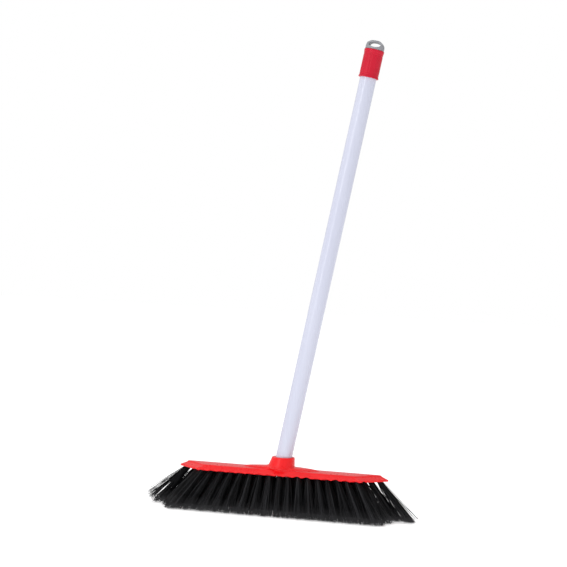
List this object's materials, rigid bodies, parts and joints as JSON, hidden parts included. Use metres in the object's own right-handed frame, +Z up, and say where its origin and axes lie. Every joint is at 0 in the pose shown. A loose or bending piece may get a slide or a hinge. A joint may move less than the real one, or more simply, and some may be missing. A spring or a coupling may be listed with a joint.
{
  "type": "push broom",
  "caption": "Household floor broom: a long moulded block with fanned bristle tufts and a leaning screw socket that takes a coated tube handle with a grip and a hanging eye.",
  "frame": {"origin": "on the floor that the bristle tips stand on, under the middle of the block", "axes": "+Z up; +X along the block, towards the side the handle leans to; -Y towards the block's shorter front edge"},
  "size_m": [0.422, 0.0716, 0.7304],
  "materials": {
    "block_plastic": "satin",
    "bristle": "satin",
    "insert_plastic": "satin",
    "tube_coating": "gloss",
    "grip_plastic": "satin",
    "cap_plastic": "satin"
  },
  "bodies": {
    "broom_head": {"brush_block": "block_plastic", "tuft_front_01": "bristle", "tuft_front_02": "bristle", "tuft_front_03": "bristle", "tuft_front_04": "bristle", "tuft_front_05": "bristle", "tuft_front_06": "bristle", "tuft_front_07": "bristle", "tuft_front_08": "bristle", "tuft_front_09": "bristle", "tuft_front_10": "bristle", "tuft_front_11": "bristle", "tuft_front_12": "bristle", "tuft_front_13": "bristle", "tuft_front_14": "bristle", "tuft_front_15": "bristle", "tuft_front_16": "bristle", "tuft_front_17": "bristle", "tuft_middle_01": "bristle", "tuft_middle_02": "bristle", "tuft_middle_03": "bristle", "tuft_middle_04": "bristle", "tuft_middle_05": "bristle", "tuft_middle_06": "bristle", "tuft_middle_07": "bristle", "tuft_middle_08": "bristle", "tuft_middle_09": "bristle", "tuft_middle_10": "bristle", "tuft_middle_11": "bristle", "tuft_middle_12": "bristle", "tuft_middle_13": "bristle", "tuft_middle_14": "bristle", "tuft_middle_15": "bristle", "tuft_middle_16": "bristle", "tuft_back_01": "bristle", "tuft_back_02": "bristle", "tuft_back_03": "bristle", "tuft_back_04": "bristle", "tuft_back_05": "bristle", "tuft_back_06": "bristle", "tuft_back_07": "bristle", "tuft_back_08": "bristle", "tuft_back_09": "bristle", "tuft_back_10": "bristle", "tuft_back_11": "bristle", "tuft_back_12": "bristle", "tuft_back_13": "bristle", "tuft_back_14": "bristle", "tuft_back_15": "bristle", "tuft_back_16": "bristle", "tuft_back_17": "bristle", "tuft_back_18": "bristle", "tuft_back_19": "bristle", "tuft_back_20": "bristle", "tuft_back_21": "bristle"},
    "handle_shaft": {"handle_tube": "tube_coating"},
    "handle_fittings": {"thread_insert": "insert_plastic", "grip_sleeve": "grip_plastic", "hang_cap": "cap_plastic"}
  },
  "joints": [
    {"name": "handle_lift", "type": "slide", "parent": "broom_head", "child": "handle_shaft", "axis": [0.1668, 0, 0.986], "range_m": [0, 0.013]},
    {"name": "handle_turn", "type": "hinge", "parent": "handle_shaft", "child": "handle_fittings", "pos_m": [0, 0, 0.0715], "axis": [0.1668, 0, 0.986], "range_deg": [0, 1171]}
  ],
  "couplings": [
    {"joint": "handle_turn", "follows": "handle_lift", "rad_per_m": 1570.8}
  ]
}
